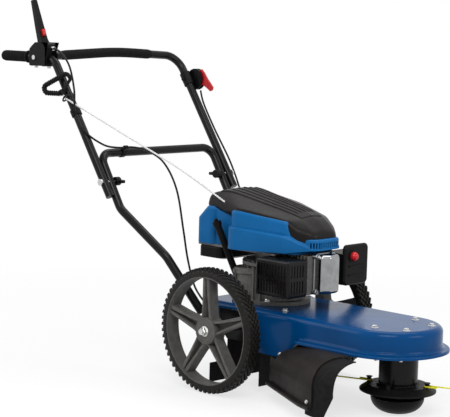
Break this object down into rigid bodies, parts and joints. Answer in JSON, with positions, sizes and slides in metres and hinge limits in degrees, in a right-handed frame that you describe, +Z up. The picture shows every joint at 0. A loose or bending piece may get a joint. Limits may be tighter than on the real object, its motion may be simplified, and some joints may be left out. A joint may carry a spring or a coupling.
{
  "type": "wheeled string trimmer",
  "caption": "Walk-behind string trimmer on two spoked wheels: an engine on a pressed deck drives a line head by belt, with a folding tube handle, clutch lever, throttle and pull starter.",
  "frame": {"origin": "on the ground, at the middle of the glide dish's foot, under the spindle", "axes": "+X forward, away from the operator; +Y to the operator's left; +Z up"},
  "size_m": [1.654, 0.6209, 1.0858],
  "materials": {
    "blue_steel": "glossy paint",
    "blue_plastic": "satin",
    "black_plastic": "matte",
    "black_paint": "satin paint",
    "foam": "matte",
    "tread": "matte",
    "rim_grey": "satin",
    "zinc": "plated",
    "cast": "cast",
    "polished": "polished",
    "dark_steel": "heat stained",
    "red": "glossy",
    "line": "satin",
    "rope": "woven"
  },
  "bodies": {
    "chassis": {"deck": "blue_steel", "belt_cover": "black_plastic", "axle": "zinc", "axle_brackets": "black_paint", "fasteners": "zinc", "rear_skirts": "foam", "side_guard": "black_plastic", "guard_flap": "foam", "spindle_housing": "black_paint", "spindle_bearings": "zinc", "drive_belt": "foam", "lower_handle": "black_paint", "handle_bolts": "zinc", "crankcase": "cast", "cylinder_block": "cast", "rocker_cover": "polished", "muffler": "dark_steel", "muffler_guard": "black_paint", "shroud": "blue_plastic", "top_cover": "black_plastic", "fuel_tank": "black_plastic", "filler_tube": "black_plastic", "carburettor": "cast", "air_filter_box": "black_plastic", "clutch_cable": "black_plastic", "throttle_cable": "black_plastic", "starter_rope": "rope", "bar_clip": "black_plastic"},
    "right_wheel": {"right_rim": "rim_grey", "right_tyre": "tread"},
    "left_wheel": {"left_rim": "rim_grey", "left_tyre": "tread"},
    "handle": {"upper_handle": "black_paint", "bar_grip": "foam", "rear_grip": "foam", "control_housing": "black_plastic", "control_screws": "zinc", "throttle_housing": "black_plastic", "rope_guide": "black_paint", "leg_clips": "black_plastic", "rope_tail": "rope"},
    "lever": {"clutch_lever": "black_plastic"},
    "lock": {"lock_button": "red"},
    "throttle": {"throttle_lever": "red"},
    "right_fold_knob": {"right_knob": "black_plastic"},
    "left_fold_knob": {"left_knob": "black_plastic"},
    "pull_grip": {"starter_grip": "black_plastic"},
    "primer": {"primer_bulb": "red"},
    "tank_cap": {"fuel_cap": "black_plastic"},
    "oil_cap": {"dipstick": "black_plastic"},
    "head": {"spindle": "zinc", "driven_pulley": "cast", "head_plate": "black_plastic", "trimmer_line": "line"},
    "dish": {"glide_dish": "black_plastic"},
    "crank": {"crankshaft": "zinc", "flywheel": "cast", "drive_pulley": "cast"},
    "tensioner": {"idler_arm": "zinc"},
    "idler": {"idler_pulley": "black_plastic"}
  },
  "joints": [
    {"name": "right_wheel_roll", "type": "hinge", "parent": "chassis", "child": "right_wheel", "pos_m": [-0.48, -0.242, 0.178], "axis": [0, 1, 0], "continuous": true},
    {"name": "left_wheel_roll", "type": "hinge", "parent": "chassis", "child": "left_wheel", "pos_m": [-0.48, 0.242, 0.178], "axis": [0, 1, 0], "continuous": true},
    {"name": "handle_fold", "type": "hinge", "parent": "chassis", "child": "handle", "pos_m": [-0.915, 0, 0.556], "axis": [0, 1, 0], "range_deg": [0, 115], "deforming": ["clutch_cable", "throttle_cable", "starter_rope"]},
    {"name": "clutch_squeeze", "type": "hinge", "parent": "handle", "child": "lever", "pos_m": [-1.22, -0.261, 0.911], "axis": [0, -1, 0], "range_deg": [0, 60], "stiffness_Nm_per_rad": 1.2, "springref_deg": -28.65},
    {"name": "lock_press", "type": "slide", "parent": "lever", "child": "lock", "axis": [-0.9397, 0, -0.342], "range_m": [0, 0.004], "stiffness_N_per_m": 300, "springref_m": -0.004},
    {"name": "throttle_swing", "type": "hinge", "parent": "handle", "child": "throttle", "pos_m": [-1.09236, 0.2757, 0.845], "axis": [0, 1, 0], "range_deg": [-25, 25]},
    {"name": "right_knob_turn", "type": "hinge", "parent": "chassis", "child": "right_fold_knob", "pos_m": [-0.915, -0.212, 0.556], "axis": [0, 1, 0], "continuous": true},
    {"name": "left_knob_turn", "type": "hinge", "parent": "chassis", "child": "left_fold_knob", "pos_m": [-0.915, 0.212, 0.556], "axis": [0, 1, 0], "continuous": true},
    {"name": "starter_pull", "type": "slide", "parent": "handle", "child": "pull_grip", "axis": [-0.6017, -0.5014, 0.6217], "range_m": [0, 0.5], "stiffness_N_per_m": 20, "springref_m": -0.3, "deforming": ["rope_tail"]},
    {"name": "primer_press", "type": "slide", "parent": "chassis", "child": "primer", "axis": [-1, 0, 0], "range_m": [0, 0.004], "stiffness_N_per_m": 400, "springref_m": -0.003},
    {"name": "tank_cap_turn", "type": "hinge", "parent": "chassis", "child": "tank_cap", "pos_m": [-0.61, 0.15, 0.428], "axis": [0, 0, 1], "continuous": true},
    {"name": "oil_cap_turn", "type": "hinge", "parent": "chassis", "child": "oil_cap", "pos_m": [-0.572, -0.128, 0.455], "axis": [-0.2368, -0.2926, 0.9265], "range_deg": [0, 90]},
    {"name": "head_spin", "type": "hinge", "parent": "chassis", "child": "head", "pos_m": [0, 0, 0.13], "axis": [0, 0, 1], "continuous": true},
    {"name": "dish_spin", "type": "hinge", "parent": "head", "child": "dish", "pos_m": [0, 0, 0.02], "axis": [0, 0, 1], "continuous": true},
    {"name": "crank_spin", "type": "hinge", "parent": "chassis", "child": "crank", "pos_m": [-0.46, 0, 0.204], "axis": [0, 0, 1], "continuous": true},
    {"name": "belt_tension", "type": "hinge", "parent": "chassis", "child": "tensioner", "pos_m": [-0.33, -0.098, 0.19], "axis": [0, 0, 1], "range_deg": [0, 3.6]},
    {"name": "idler_spin", "type": "hinge", "parent": "tensioner", "child": "idler", "pos_m": [-0.25, -0.06948, 0.204], "axis": [0, 0, 1], "continuous": true}
  ],
  "couplings": [
    {"joint": "crank_spin", "follows": "head_spin", "ratio": 1.375},
    {"joint": "belt_tension", "follows": "clutch_squeeze", "ratio": 0.06}
  ]
}
